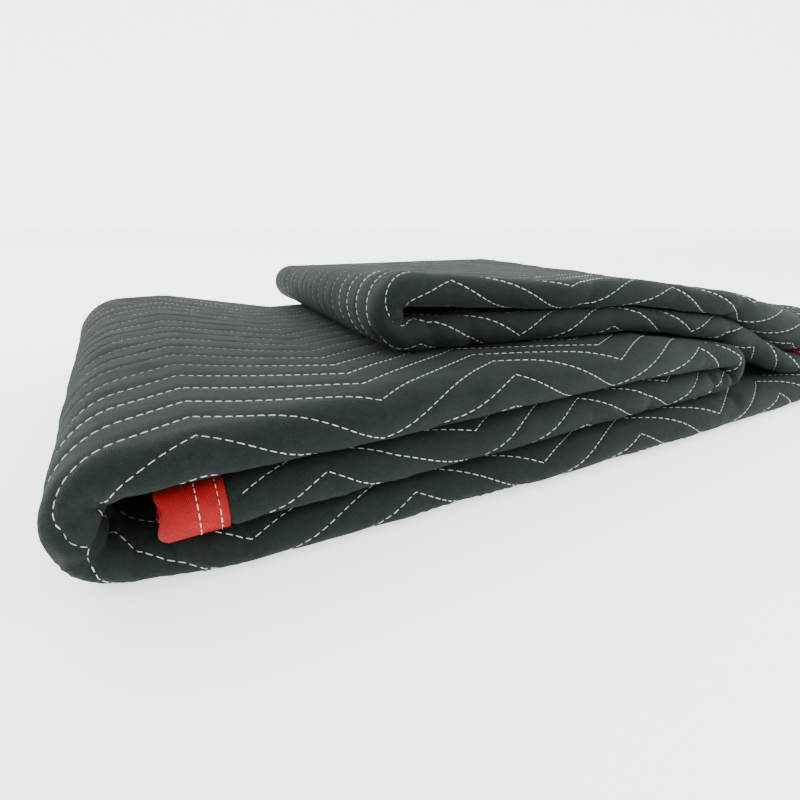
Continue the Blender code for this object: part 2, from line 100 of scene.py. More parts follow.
# The upper layers lie askew: how far their ridge stands back, and how far X moves over the strip's width
Skew = namedtuple("Skew", "x back lean")
UPPER_SKEW = [
    Skew(0.080, 0.060, 0.110),
    Skew(0.118, 0.053, 0.108),
    Skew(0.262, 0.024, 0.106),
    Skew(0.334, 0.012, 0.100),
    Skew(0.459, -0.006, 0.078),
]
LEAN_FROM = 0.300

# The lowest layer's ridge stands back at the left turn and comes forward to the right
Wander = namedtuple("Wander", "x back")
LOWEST_RIDGE = [
    Wander(-0.023, 0.011),
    Wander(0.000, 0.003),
    Wander(0.030, 0.001),
    Wander(0.110, -0.002),
    Wander(0.180, -0.007),
    Wander(0.300, -0.010),
    Wander(0.459, -0.011),
]

DENSE_TURN_STEP = np.radians(2.5)
DENSE_STEP = 0.003

# How the solids' own layout is moved to the frame's origin
TO_FRAME = np.array([-0.224656, -0.175920, 0.0])

# The stitched rows, by how far each stands from the ridge at a zigzag peak
ROW_STEP = 0.0178
ROW_A = 0.0293
ZIGZAG_DEPTH = 0.037
FIRST_ROW, LAST_ROW = -5, 16

# How the rows stray from an even zigzag, by length along the strip: how far along it, and how far across
Stray = namedtuple("Stray", "length along across")
STRAYS = [Stray(*row) for row in (
    (0.0, 0.018, 0.003), (0.060, 0.018, 0.001), (0.095, 0.019, 0.004), (0.150, 0.021, -0.003),
    (0.210, 0.021, -0.006), (0.300, 0.021, -0.004), (0.420, 0.0, -0.003), (0.490, 0.0, -0.003),
    (0.570, 0.0, -0.001), (0.640, 0.0, 0.0), (0.730, 0.0, 0.001), (0.760, -0.009, 0.004),
    (0.800, -0.021, 0.002), (1.200, -0.021, 0.002), (1.450, -0.074, -0.004), (1.700, -0.074, -0.005),
    (1.796, -0.100, -0.008), (1.985, -0.1325, -0.008), (2.073, -0.148, -0.008))]

# How the quilted outer face stands off a plain one: valleys along the rows, crests between them, and noise
# whose scales are repeats per metre along the strip and across it, with a seed
VALLEY = 0.0005
FAR_VALLEY = 0.0004
FAR_VALLEY_FROM, FAR_VALLEY_BLEND = 0.060, 0.050
VALLEY_WIDTH = 0.0015
CREST = 0.0003
Ripple = namedtuple("Ripple", "size along across seed")
CREST_RIPPLE = Ripple(0.5, 24, 45, 3.0)
CREST_SHARE = 0.9
WIDE_RIPPLE = Ripple(0.0010, 15, 22, 7.0)
LUMPS = Ripple(0.0008, 80, 70, 11.0)
LUMP_SLANT = 15

# Where the outer face is free: round the ridge, and on layers with nothing on them. The upper pile covers the
# top layer from a slanting edge on
RIDGE_REACH, RIDGE_BLEND = 0.030, 0.010
COVER_FROM, COVER_AT, COVER_BLEND = 0.098, 0.055, 0.014
COVERED_X = (0.05, 0.41)
BEHIND_RIDGE, BEHIND_BLEND = 0.004, 0.012
FACING = 0.7
TURNED_IN_X = (0.2, 0.40)
FLOOR_NEAR, FLOOR_BLEND, FLOOR_SINK = 0.004, 0.003, 0.0001

# Creases, listed one by one: from one place on the outer face to another, by length and run from the ridge
Crease = namedtuple("Crease", "length_a run_a length_b run_b width depth")
CREASES = [Crease(*row) for row in (
    (0.7580, -0.0004, 0.7493, -0.0013, 0.0026, 0.0030), (0.7493, -0.0013, 0.7522, -0.0100, 0.0028, 0.0036),
    (0.7668, -0.0150, 0.7815, 0.0000, 0.0024, 0.0028), (0.7785, -0.0220, 0.7815, -0.0020, 0.0024, 0.0026),
    (0.7962, -0.0120, 0.7962, 0.0010, 0.0026, 0.0022), (0.7551, -0.0010, 0.7660, 0.0035, 0.0024, 0.0022),
    (0.7660, 0.0035, 0.7740, 0.0070, 0.0026, 0.0018), (0.7756, 0.0030, 0.7790, -0.0060, 0.0022, 0.0018),
    (0.8080, -0.0110, 0.8130, 0.0020, 0.0028, 0.0018), (0.8370, -0.0110, 0.8327, 0.0020, 0.0026, 0.0016),
    (1.7073, -0.0050, 1.7150, 0.0010, 0.0022, 0.0028), (1.7180, -0.0010, 1.7241, -0.0080, 0.0022, 0.0026),
    (1.7207, 0.0163, 1.7241, 0.0080, 0.0026, 0.0018), (1.7421, -0.0090, 1.7450, 0.0030, 0.0026, 0.0022),
    (1.7650, -0.0030, 1.7690, 0.0100, 0.0026, 0.0022), (0.3309, -0.0070, 0.3325, 0.0040, 0.0022, 0.0026),
    (0.3532, -0.0120, 0.3520, 0.0040, 0.0024, 0.0022), (0.3440, -0.0080, 0.3400, 0.0030, 0.0024, 0.0020),
    (1.9577, -0.0100, 1.9542, 0.0050, 0.0034, 0.0018), (1.1624, -0.0170, 1.1560, -0.0060, 0.0034, 0.0018),
    (0.2657, -0.0050, 0.2690, 0.0080, 0.0034, 0.0014), (1.4700, -0.0090, 1.4640, 0.0070, 0.0038, 0.0018),
    (0.6050, -0.0080, 0.5900, 0.0060, 0.0050, 0.0012), (1.5900, -0.0070, 1.5850, 0.0080, 0.0040, 0.0014))]
CREASE_NEAR = 0.025

# The stitches of the rows, pulled deeper far from the ridge, and of the binding
STITCH_PITCH = 0.0042
STITCH_LENGTH = 0.0030
STITCH_WIDTH = 0.00056
STITCH_RISE = 0.00034
STITCH_FOOT = 0.00012
STITCH_SPOTS = np.array([0.0, 0.22, 0.78, 1.0])
STITCH_HEIGHTS = (0.35, 1.0, 1.0, 0.35)
STITCH_START, STITCH_STAGGER = 0.001, 0.0011
SEEN_UNDER = 0.034
FAR_SINK, FAR_SINK_FROM, FAR_SINK_BLEND = 0.00028, 0.045, 0.060
BINDING_PITCH = 0.0036
BINDING_STITCH = BINDING_PITCH * 0.7
BINDING_ROWS = (0.0125, 0.0200)
BINDING_REACH = 0.045

# The tape's puckers and ragged end
TAPE_SWELLING = 0.0005
TAPE_RAGGED = 0.0022
TAPE_BEND, TAPE_MIDDLE = 0.001, 0.012
TAPE_BACK_WEAVE = 0.05

# Points of the fine cloth
STATION_STEP = 0.0066
STATION_TURN = np.radians(8.0)
ROW_SHARES = (0.0, 0.07, 0.18, 0.34, 0.5, 0.66, 0.82, 0.93)
BACK_ROW_SHARES = (0.0, 0.25, 0.5, 0.75)
FIRST_BACK_ROW = 12
FACE_UNDER = 0.060
SHEAR_FIRST, SHEAR_LAST = 0.035, 0.045
SPREAD_FIRST, SPREAD_LAST = 0.030, 0.060
CREASE_STATIONS = (-0.0028, 0, 0.0028)

# The materials: darkest and lightest linear colour, pitch of weave, and wrinkles along the rows, per metre
BLACK = (0.0044, 0.0072, 0.0066), (0.0118, 0.0172, 0.0158)
RED = (0.17, 0.0008, 0.001), (0.30, 0.002, 0.003)
WHITE = (0.30, 0.315, 0.31), (0.62, 0.64, 0.625)
STAGE_WHITE = (0.93, 0.935, 0.94)
PAD_PITCH = 0.0013
TAPE_PITCH, TAPE_PITCH_ACROSS = 0.0011, 0.0009
WRINKLES_ALONG, WRINKLES_ACROSS, WRINKLE_HEIGHT = 45.0, 190.0, 3.6

# The camera, from the fold's own perspective in the photo
FOCAL_PIXELS = 510.8
FRAME_PIXELS = 800
PITCH, YAW = np.radians(20.3), np.radians(29.2)
CAMERA_PLACE = np.array([-0.01755, -0.17365, 0.1362])

# The studio
FLOOR_GLOW = 1.3
BACKDROP_GLOW = 1.6
BACKDROP_AWAY = 4.0
BACKDROP_SIZE = (14, 5)
FLOOR_SIZE = 16
WORLD_LIGHT = 2.2
Light = namedtuple("Light", "name place size power")
LIGHTS = [Light("key", (-1.0, 1.2, 1.5), 1.4, 34), Light("fill", (0.60, -0.50, 0.40), 0.6, 6)]


def strip_thickness(air):
    return STRIP_LAYERS * CLOTH + (STRIP_LAYERS - 1) * air


# The heights of the layers at the ridge, from the floor up
THIN = strip_thickness(PRESSED_AIR)
RESTING = strip_thickness(RESTING_AIR)
LOOSE = strip_thickness(LOOSE_AIR)
MIDDLE_UNDERSIDE = RESTING + STRIP_GAP
TOP_UNDERSIDE = MIDDLE_UNDERSIDE + RESTING + STRIP_GAP
TOP_SURFACE = TOP_UNDERSIDE + LOOSE

# The inner right turn, whose nose the upper layers lie over
NOSE_INNER = 0.0009
NOSE_TOP = MIDDLE_UNDERSIDE + 2 * THIN + 2 * NOSE_INNER
NOSE_HEIGHT = (MIDDLE_UNDERSIDE + NOSE_TOP) / 2
NOSE_FROM = RIGHT_TURN - NOSE_REACH
SEAM_AT_NOSE = NOSE_TOP + PUFF + FOLD_GAP + THIN + STRIP_GAP / 2
LOW_SEAM = RESTING + STRIP_GAP + THIN + STRIP_GAP / 2

# One point of the path, on the strip's inner face: its place, the way out to the outer face, the air between
# the cloth's layers at the ridge and at the back, how far the inner face falls towards the back, how far back
# the ridge stands, how far X leans over the width, and whether it is an upper layer
PathPoint = namedtuple("PathPoint", "x z out_x out_z front_air back_air fall back lean upper")


def smooth(value):
    t = np.clip(value, 0.0, 1.0)
    return t * t * (3 - 2 * t)


def mix(a, b, t):
    return a + (b - a) * t


def near_nose(x):
    """0 along the lower layers, 1 where they reach the inner right turn."""
    return np.clip((x - RIGHT_TURN + NOSE_REACH) / NOSE_REACH, 0, 1)


def swollen(x):
    """0 at the round left end, 1 where the lower layers are loose at the ridge and pressed at the back."""
    return np.clip((x - SWELL_FROM) / (SWELL_TO - SWELL_FROM), 0, 1)


def bottom_back_air(x):
    return mix(LEFT_BACK_AIR, BACK_AIR, swollen(x))


def middle_back_air(x):
    return mix(bottom_back_air(x), PRESSED_AIR, near_nose(x))


def top_back_air(x):
    return mix(LEFT_BACK_AIR, PRESSED_AIR, swollen(x))


def layer_fall(front, back):
    """How much thinner the strip is at the back than at the ridge."""
    return strip_thickness(front) - strip_thickness(back)


def bottom_fall(x):
    return layer_fall(RESTING_AIR, bottom_back_air(x))


def middle_front_air(x):
    return mix(RESTING_AIR, PRESSED_AIR, near_nose(x))


def top_front_air(x):
    return mix(mix(RESTING_AIR, LOOSE_AIR, swollen(x)), PRESSED_AIR, near_nose(x))


def top_surface(x):
    """The height of the top layer's ridge over the floor."""
    lowered = (LOOSE - RESTING - LEFT_RISE) * (1 - swollen(x))
    return TOP_SURFACE - lowered - (TOP_SURFACE - NOSE_TOP) * near_nose(x)


def middle_fall(x):
    return bottom_fall(x) + layer_fall(middle_front_air(x), middle_back_air(x))


def top_fall(x):
    return middle_fall(x) + layer_fall(top_front_air(x), top_back_air(x))


def left_lean(x):
    return LEFT_LEAN * (1 - swollen(x))


def bottom_lean(x):
    return left_lean(x) + UPPER_SKEW[-1].lean * np.clip((x - LEAN_FROM) / (FAR_TURN - LEAN_FROM), 0, 1)


def middle_layer(x):
    front = middle_front_air(x)
    z = MIDDLE_UNDERSIDE + strip_thickness(front)
    return PathPoint(x, z, 0, -1, front, middle_back_air(x), middle_fall(x), 0, left_lean(x), 0)


def top_layer(x):
    front = top_front_air(x)
    z = top_surface(x) - strip_thickness(front)
    return PathPoint(x, z, 0, 1, front, top_back_air(x), middle_fall(x), 0, left_lean(x), 0)


def bottom_layer(x):
    back = np.interp(x, [row.x for row in LOWEST_RIDGE], [row.back for row in LOWEST_RIDGE])
    return PathPoint(x, RESTING, 0, -1, RESTING_AIR, bottom_back_air(x), bottom_fall(x), back,
                     bottom_lean(x), 0)


def upper_air(x):
    """The air at the upper layers' ridge: they are loose at their left turn and pressed at the nose."""
    return mix(UPPER_AIR, PRESSED_AIR, np.clip((x - UPPER_TURN) / (NOSE_FROM - UPPER_TURN), 0, 1))


def seam(x):
    """The height between the fourth and uppermost layers over the top layer."""
    return top_surface(x) + PUFF + FOLD_GAP + strip_thickness(upper_air(x)) + STRIP_GAP / 2


def upper_layer(x):
    widened = np.clip((UPPER_TURN + UPPER_REACH - x) / UPPER_REACH, 0, 1)
    opened = widened * (2 * UPPER_TURN_INNER - STRIP_GAP)
    bulging = np.clip((x - BULGE_FROM) / (BULGE_TO - BULGE_FROM), 0, 1)
    front = mix(upper_air(x), BULGING_AIR, bulging)
    fall = layer_fall(upper_air(x), PRESSED_AIR) + opened
    return PathPoint(x, seam(x) + STRIP_GAP / 2 + opened, 0, 1, front, PRESSED_AIR, fall, 0, 0, 1)


def fourth_layer(x):
    front = upper_air(x)
    fall = layer_fall(front, PRESSED_AIR)
    return PathPoint(x, seam(x) - STRIP_GAP / 2, 0, -1, front, PRESSED_AIR, fall, 0, 0, 1)


def turn(x, z, radius, start, before, after):
    """Points round a half turn to the left, from the angle start, between the layers before and after it."""
    count = int(np.ceil(np.pi / DENSE_TURN_STEP))
    points = []
    for share in np.linspace(0, 1, count + 1):
        angle = start + np.pi * share
        blend = [mix(a, b, share) for a, b in zip(before[4:], after[4:])]
        out_x, out_z = np.cos(angle), np.sin(angle)
        points.append(PathPoint(x + radius * out_x, z + radius * out_z, out_x, out_z, *blend))
    return points


def stretch(x_from, x_to):
    """Places along X, close enough for the dense path."""
    count = max(2, int(np.ceil(abs(x_to - x_from) / DENSE_STEP)))
    return np.linspace(x_from, x_to, count + 1)


def slope(lift):
    """(x, z, up_x, up_z) down the seam between the fourth and uppermost layers, moved up by lift."""
    crest = SEAM_AT_NOSE - NOSE_HEIGHT
    radii = crest + FOOT_RADIUS
    straight = (SEAM_AT_NOSE - LOW_SEAM - radii * (1 - np.cos(SLOPE_ANGLE))) / np.sin(SLOPE_ANGLE)
    foot_x = RIGHT_TURN + radii * np.sin(SLOPE_ANGLE) + straight * np.cos(SLOPE_ANGLE)
    foot_z = LOW_SEAM + FOOT_RADIUS
    angles = np.linspace(0, SLOPE_ANGLE, int(np.ceil(SLOPE_ANGLE / DENSE_TURN_STEP)) + 1)
    points = []
    for a in angles:
        points.append((RIGHT_TURN + (crest + lift) * np.sin(a), NOSE_HEIGHT + (crest + lift) * np.cos(a),
                       np.sin(a), np.cos(a)))
    for a in angles[::-1]:
        points.append((foot_x - (FOOT_RADIUS - lift) * np.sin(a), foot_z - (FOOT_RADIUS - lift) * np.cos(a),
                       np.sin(a), np.cos(a)))
    return points + [(x, LOW_SEAM + lift, 0, 1) for x in stretch(foot_x, FAR_TURN)[1:]]


def whole_path():
    """The strip's inner face from its first end to beyond its second, as dense points."""
    half = np.pi / 2
    left_from, left_to = top_layer(LEFT_TURN), bottom_layer(LEFT_TURN)
    left_inner = (left_from.z - left_to.z) / 2
    far_to = upper_layer(FAR_TURN)._replace(z=LOW_SEAM + STRIP_GAP / 2)
    far_inner = (far_to.z - RESTING) / 2
    path = [middle_layer(x) for x in stretch(END_A, RIGHT_TURN)]
    path += turn(RIGHT_TURN, NOSE_HEIGHT, NOSE_INNER, -half, middle_layer(RIGHT_TURN), top_layer(RIGHT_TURN))
    path += [top_layer(x) for x in stretch(RIGHT_TURN, LEFT_TURN)]
    path += turn(LEFT_TURN, left_to.z + left_inner, left_inner, half, left_from, left_to)
    path += [bottom_layer(x) for x in stretch(LEFT_TURN, FAR_TURN)]
    path += turn(FAR_TURN, RESTING + far_inner, far_inner, -half, bottom_layer(FAR_TURN), far_to)
    path += [upper_layer(x)._replace(z=z, out_x=up_x, out_z=up_z)
             for x, z, up_x, up_z in slope(STRIP_GAP / 2)[::-1]]
    path += [upper_layer(x) for x in stretch(RIGHT_TURN, UPPER_TURN)]
    path += turn(UPPER_TURN, seam(UPPER_TURN) - STRIP_GAP / 2 + UPPER_TURN_INNER, UPPER_TURN_INNER, half,
                 upper_layer(UPPER_TURN), fourth_layer(UPPER_TURN))
    path += [fourth_layer(x) for x in stretch(UPPER_TURN, RIGHT_TURN)]
    path += [fourth_layer(x)._replace(z=z, out_x=-up_x, out_z=-up_z)
             for x, z, up_x, up_z in slope(-STRIP_GAP / 2)]
    return path


class Path:
    """The dense path as arrays, read at any length along the strip's middle."""

    def __init__(self):
        points = np.array(whole_path(), float)
        middle = points[:, :2] + points[:, 2:4] * strip_thickness(points[:, 4:5]) / 2
        steps = np.linalg.norm(np.diff(middle, axis=0), axis=1)
        keep = np.concatenate([[True], steps > 1e-7])
        self.points = points[keep]
        self.length = np.concatenate([[0.0], np.cumsum(steps)])[keep]
        self.angle = np.unwrap(np.arctan2(self.points[:, 3], self.points[:, 2]))

    def at(self, length):
        columns = [np.interp(length, self.length, column) for column in self.points.T]
        angle = np.interp(length, self.length, self.angle)
        columns[2], columns[3] = np.cos(angle), np.sin(angle)
        return PathPoint(*columns)

    def top_length(self, x):
        """The length at which the top layer passes x."""
        for i in np.flatnonzero(np.diff(np.sign(self.points[:, 0] - x))):
            here, there = self.points[i], self.points[i + 1]
            if here[3] > NEARLY_FLAT and round(here[-1]) == 0:
                share = (x - here[0]) / (there[0] - here[0])
                return float(mix(self.length[i], self.length[i + 1], share))


PATH = Path()
TOP_PEAK = PATH.top_length(0.0)


def zigzag(length):
    """How far the rows stand from the back here, from 0 at a peak to -ZIGZAG_DEPTH in a valley."""
    phase = ((length - TOP_PEAK) / ZIGZAG) % 1.0
    return -ZIGZAG_DEPTH * (1 - abs(1 - 2 * phase))


def skew(x):
    places = [row.x for row in UPPER_SKEW]
    return (np.interp(x, places, [row.back for row in UPPER_SKEW]),
            np.interp(x, places, [row.lean for row in UPPER_SKEW]))


def nose_depth(front_air):
    """How far the centre of the ridge's bend lies behind the ridge."""
    return strip_thickness(front_air) / 2 * NOSE_STRETCH


def strip_width():
    """The width that uses up the pad's width in six layers, three bends at the ridge and two at the back."""
    pitch = CLOTH + RESTING_AIR
    bends = sum(np.pi * pitch * (pair + 0.5) * (1 + NOSE_STRETCH) / 2 for pair in range(3))
    bends += 2 * np.pi * pitch / 2
    straight = PAD_WIDTH - bends + STRIP_LAYERS * nose_depth(RESTING_AIR) + 4 * pitch / 2
    return straight / STRIP_LAYERS


STRIP_WIDTH = strip_width()


class SheetLine:
    """The middle of the cloth in one cross-section, from its outer free edge to the one inside."""

    def __init__(self, front_air, back_air):
        self.front_air, self.back_air = front_air, back_air
        self.depth = nose_depth(front_air)
        self.bend = (CLOTH + back_air) / 2
        back = STRIP_WIDTH - self.bend
        pieces = [
            self.panel(0, STRIP_WIDTH, self.depth), self.ridge_bend(0, 5),
            self.panel(5, self.depth, back), self.back_bend(5, 4),
            self.panel(4, back, self.depth), self.ridge_bend(4, 1),
            self.panel(1, self.depth, back), self.back_bend(1, 2),
            self.panel(2, back, self.depth), self.ridge_bend(2, 3),
            self.panel(3, self.depth, STRIP_WIDTH),
        ]
        self.points = np.concatenate([pieces[0]] + [piece[1:] for piece in pieces[1:]])
        steps = np.linalg.norm(np.diff(self.points, axis=0), axis=1)
        self.run = np.concatenate([[0.0], np.cumsum(steps)])
        self.starts = self.run[np.cumsum([0] + [len(piece) - 1 for piece in pieces])]
        ahead = np.gradient(self.points, self.run, axis=0)
        self.heading = np.unwrap(np.arctan2(ahead[:, 1], ahead[:, 0]))
        self.ridge = (self.starts[1] + self.starts[2]) / 2

    def level(self, layer, across):
        air = mix(self.front_air, self.back_air, across / STRIP_WIDTH)
        return CLOTH / 2 + layer * (CLOTH + air)

    def panel(self, layer, start, end):
        across = np.linspace(start, end, 9)
        return np.stack([across, self.level(layer, across)], 1)

    def bend_points(self, first, last, across, reach, count):
        a, b = self.level(first, across), self.level(last, across)
        angle = np.linspace(0, np.pi, count)
        return np.stack([across + np.sin(angle) * reach * abs(b - a) / 2,
                         (a + b) / 2 + (a - b) / 2 * np.cos(angle)], 1)

    def ridge_bend(self, first, last):
        return self.bend_points(first, last, self.depth, -NOSE_STRETCH, 33)

    def back_bend(self, first, last):
        return self.bend_points(first, last, STRIP_WIDTH - self.bend, 1.0, 17)

    def at(self, run, offset):
        """(across, up) at lengths along the line, moved off it by offset towards the cloth's outer face."""
        across = np.interp(run, self.run, self.points[:, 0])
        up = np.interp(run, self.run, self.points[:, 1])
        heading = np.interp(run, self.run, self.heading)
        return np.stack([across - np.sin(heading) * offset, up + np.cos(heading) * offset], -1)

    def shares(self, piece, count):
        """Lengths spaced evenly over one piece, its ends included."""
        return list(np.linspace(self.starts[piece], self.starts[piece + 1], count))


def in_world(length, section):
    """Carries points of the strip's cross-section, as (across, up), to their place along the path."""
    spot = PATH.at(length)
    section = np.asarray(section)
    across, up = section[:, 0], section[:, 1]
    back, lean = skew(spot.x)
    x = spot.x + up * spot.out_x + mix(spot.lean, lean, spot.upper) * across
    y = across + mix(spot.back, back, spot.upper)
    at_ridge, at_back = upper_falls(spot.x)
    z = spot.z + up * spot.out_z - spot.fall * across / STRIP_WIDTH
    z = z - spot.upper * mix(at_ridge, at_back, across / STRIP_WIDTH)
    return np.stack([x, y, z], 1)


def upper_falls(x):
    """How far the upper layers lie below their path at the ridge and at the back."""
    places = np.array([UPPER_TURN, NOSE_FROM, RIGHT_TURN, FAR_TURN])
    back, lean = skew(places)
    far_x, far_y = places + lean * STRIP_WIDTH, back + STRIP_WIDTH
    at_ridge = top_fall(places) * back / STRIP_WIDTH
    at_back = top_surface(places) - top_surface(far_x) + top_fall(far_x) * far_y / STRIP_WIDTH
    return np.interp(x, places, at_ridge), np.interp(x, places, at_back)


def to_frame(points):
    return np.asarray(points) + TO_FRAME


def uneven(x, y, z):
    """Smooth noise from -1 to 1, at a place given in units of its own scale."""
    return noise.noise(Vector((x, y, z)))


def rippled(ripple, length, run):
    return ripple.size * uneven(length * ripple.along, run * ripple.across, ripple.seed)


def strayed(length):
    """How far the rows stray here, along the strip and across it."""
    places = [row.length for row in STRAYS]
    return (np.interp(length, places, [row.along for row in STRAYS]),
            np.interp(length, places, [row.across for row in STRAYS]))


def creased(length, run):
    """How deep the hand-laid creases are at a place on the outer face."""
    here = np.array([length, run])
    deep = 0.0
    for crease in CREASES:
        start, way = np.array(crease[:2]), np.array(crease[2:4]) - np.array(crease[:2])
        if abs(length - start[0]) < CREASE_NEAR:
            share = np.clip((here - start) @ way / (way @ way), 0, 1)
            off = np.linalg.norm(here - start - share * way)
            deep = max(deep, crease.depth * np.exp(-(off / crease.width) ** 2))
    return deep


def row_shift(length):
    along, across = strayed(length)
    return zigzag(length - along) + across


class Station:
    """The folded section at one length along the strip."""

    def __init__(self, length):
        self.length = length
        self.spot = PATH.at(length)
        self.line = SheetLine(self.spot.front_air, self.spot.back_air)
        self.end = self.line.run[-1]
        self.top = self.line.starts[3] - self.line.ridge
        self.bound = length < TAPE_WIDTH + TAPER / 2 or length > PAD_LENGTH - TAPE_WIDTH - TAPER / 2
        self.shift = row_shift(length)

    def face_runs(self):
        """Runs of the outer face's points from the ridge, close together along the stitched rows."""
        rows = [(row, BACK_ROW_SHARES if row >= FIRST_BACK_ROW else ROW_SHARES)
                for row in range(FIRST_ROW, LAST_ROW + 1)]
        plain = ROW_A + ROW_STEP * np.array([row + share for row, shares in rows for share in shares])
        first, last = plain[0], plain[-1]
        sheared = smooth((plain - first) / SHEAR_FIRST) * smooth((last - plain) / SHEAR_LAST)
        runs = plain + self.shift * sheared
        runs += (-FACE_UNDER - first) * np.clip(1 - (plain - first) / SPREAD_FIRST, 0, 1)
        return runs + (self.top - last) * np.clip(1 - (last - plain) / SPREAD_LAST, 0, 1)

    def freedom(self, u, x, y):
        """1 where the outer face is bare to the air, 0 where it is pressed or on the floor."""
        spot = self.spot
        from_ridge = smooth((u + RIDGE_REACH) / RIDGE_BLEND)
        ridge = smooth((RIDGE_REACH - u) / RIDGE_BLEND) * from_ridge
        if spot.upper > 0.5:
            return ridge if spot.out_z < 0 and spot.x > UPPER_TURN else from_ridge
        if spot.out_z < -FACING or (spot.out_z < FACING and TURNED_IN_X[0] < spot.x < TURNED_IN_X[1]):
            return ridge
        if not COVERED_X[0] < x < COVERED_X[1]:
            return from_ridge
        back, lean = skew(x)
        past_edge = smooth((x - COVER_FROM - lean * (y - COVER_AT)) / COVER_BLEND)
        return from_ridge * (1 - past_edge * smooth((y - back - BEHIND_RIDGE) / BEHIND_BLEND))

    def relief(self, u, place):
        """How far the outer face stands off its plain surface at a run from the ridge."""
        if self.bound:
            return 0.0
        rows = (u - ROW_A - self.shift) / ROW_STEP
        off = abs(rows - round(rows)) * ROW_STEP
        dip = np.exp(-(off / VALLEY_WIDTH) ** 2)
        pillow = 1 - (1 - 2 * off / ROW_STEP) ** 2
        free = self.freedom(u, place[0], place[1])
        on_floor = smooth((FLOOR_NEAR - place[2]) / FLOOR_BLEND)
        height = CREST * pillow * (CREST_SHARE + rippled(CREST_RIPPLE, self.length, u))
        height += free * rippled(WIDE_RIPPLE, self.length, u)
        height += free * rippled(LUMPS, self.length + u * LUMP_SLANT / LUMPS.along, u) * pillow
        height -= mix(VALLEY, FAR_VALLEY, smooth((u - FAR_VALLEY_FROM) / FAR_VALLEY_BLEND)) * dip
        height -= creased(self.length, u) if abs(u) < RIDGE_REACH else 0.0
        height = mix(height, min(height, 0.0) - FLOOR_SINK, on_floor)
        return height * np.clip((self.top - u) / 0.006, 0, 1) * np.clip((u + FACE_UNDER) / 0.010, 0, 1)


def fine_lengths():
    """Stations of the fine cloth: at each zigzag corner, closer together in the turns and at the tape."""
    dense = np.linspace(0, PAD_LENGTH, 4000)
    even = dense - strayed(dense)[0]
    corners = TOP_PEAK + ZIGZAG / 2 * np.arange(-20, 40)
    marks = list(np.interp(corners[(corners > even[0]) & (corners < even[-1])], even, dense))
    edges = [0.0, TAPE_WIDTH, TAPE_WIDTH + TAPER]
    edges += [PAD_LENGTH - edge for edge in edges]
    near = [(crease.length_a + crease.length_b) / 2 + off for crease in CREASES for off in CREASE_STATIONS]
    marks += [m for m in near if min(abs(m - mark) for mark in marks) > 0.002]
    marks = [m for m in marks if min(abs(m - edge) for edge in edges) > 0.004 and edges[2] < m < edges[5]]
    marks = sorted(marks + edges)
    angle = np.interp(dense, PATH.length, PATH.angle)
    turning = np.abs(np.gradient(angle, dense))
    needed = np.maximum(1 / STATION_STEP, turning / STATION_TURN)
    cost = np.concatenate([[0.0], np.cumsum((needed[1:] + needed[:-1]) / 2 * np.diff(dense))])
    lengths = [marks[0]]
    for start, stop in zip(marks[:-1], marks[1:]):
        from_cost, to_cost = np.interp([start, stop], dense, cost)
        count = max(1, int(np.ceil(to_cost - from_cost - 0.15)))
        lengths += list(np.interp(np.linspace(from_cost, to_cost, count + 1)[1:], cost, dense))
    return np.array(lengths)


def face_grid(stations):
    """The relieved outer face as points over (station, run), with its runs and its way out."""
    runs, points, ways = [], [], []
    for station in stations:
        u = station.face_runs()
        line = station.line
        plain = in_world(station.length, line.at(line.ridge + u, CLOTH / 2))
        raised = np.array([station.relief(a, p) for a, p in zip(u, plain)])
        thick = EDGE_CLOTH if station.bound else CLOTH
        place = in_world(station.length, line.at(line.ridge + u, thick / 2 + raised))
        out = in_world(station.length, line.at(line.ridge + u, thick / 2 + raised + 0.001)) - place
        runs.append(u)
        points.append(place)
        ways.append(out / np.linalg.norm(out, axis=1, keepdims=True))
    return np.array(runs), np.array(points), np.array(ways)


def fine_section(station, face_points):
    """Points of the fine cloth's outline at a station, with their runs."""
    line, end = station.line, station.end
    free = [0.0, TAPE_WIDTH, TAPE_WIDTH + TAPER]
    last_free = [end - run for run in free[::-1]]
    hidden = line.shares(3, 9)[1:] + line.shares(5, 6) + line.shares(7, 7) + line.shares(9, 5) + last_free
    inner = free + line.shares(1, 12) + line.shares(3, 5) + line.shares(5, 6) + line.shares(7, 7)
    inner += line.shares(9, 5) + last_free

    def half(run):
        squeezed = station.bound or min(run, end - run) < TAPE_WIDTH + TAPER / 2
        return (EDGE_CLOTH if squeezed else CLOTH) / 2

    outer = in_world(station.length, line.at(np.array(free), np.array([half(run) for run in free])))
    back = hidden + inner[::-1]
    offsets = [half(run) for run in hidden] + [-half(run) for run in inner[::-1]]
    behind = in_world(station.length, line.at(np.array(back), np.array(offsets)))
    runs = np.array(free + list(line.ridge + station.face_runs()) + back)
    return np.concatenate([outer, face_points, behind]), runs - line.ridge


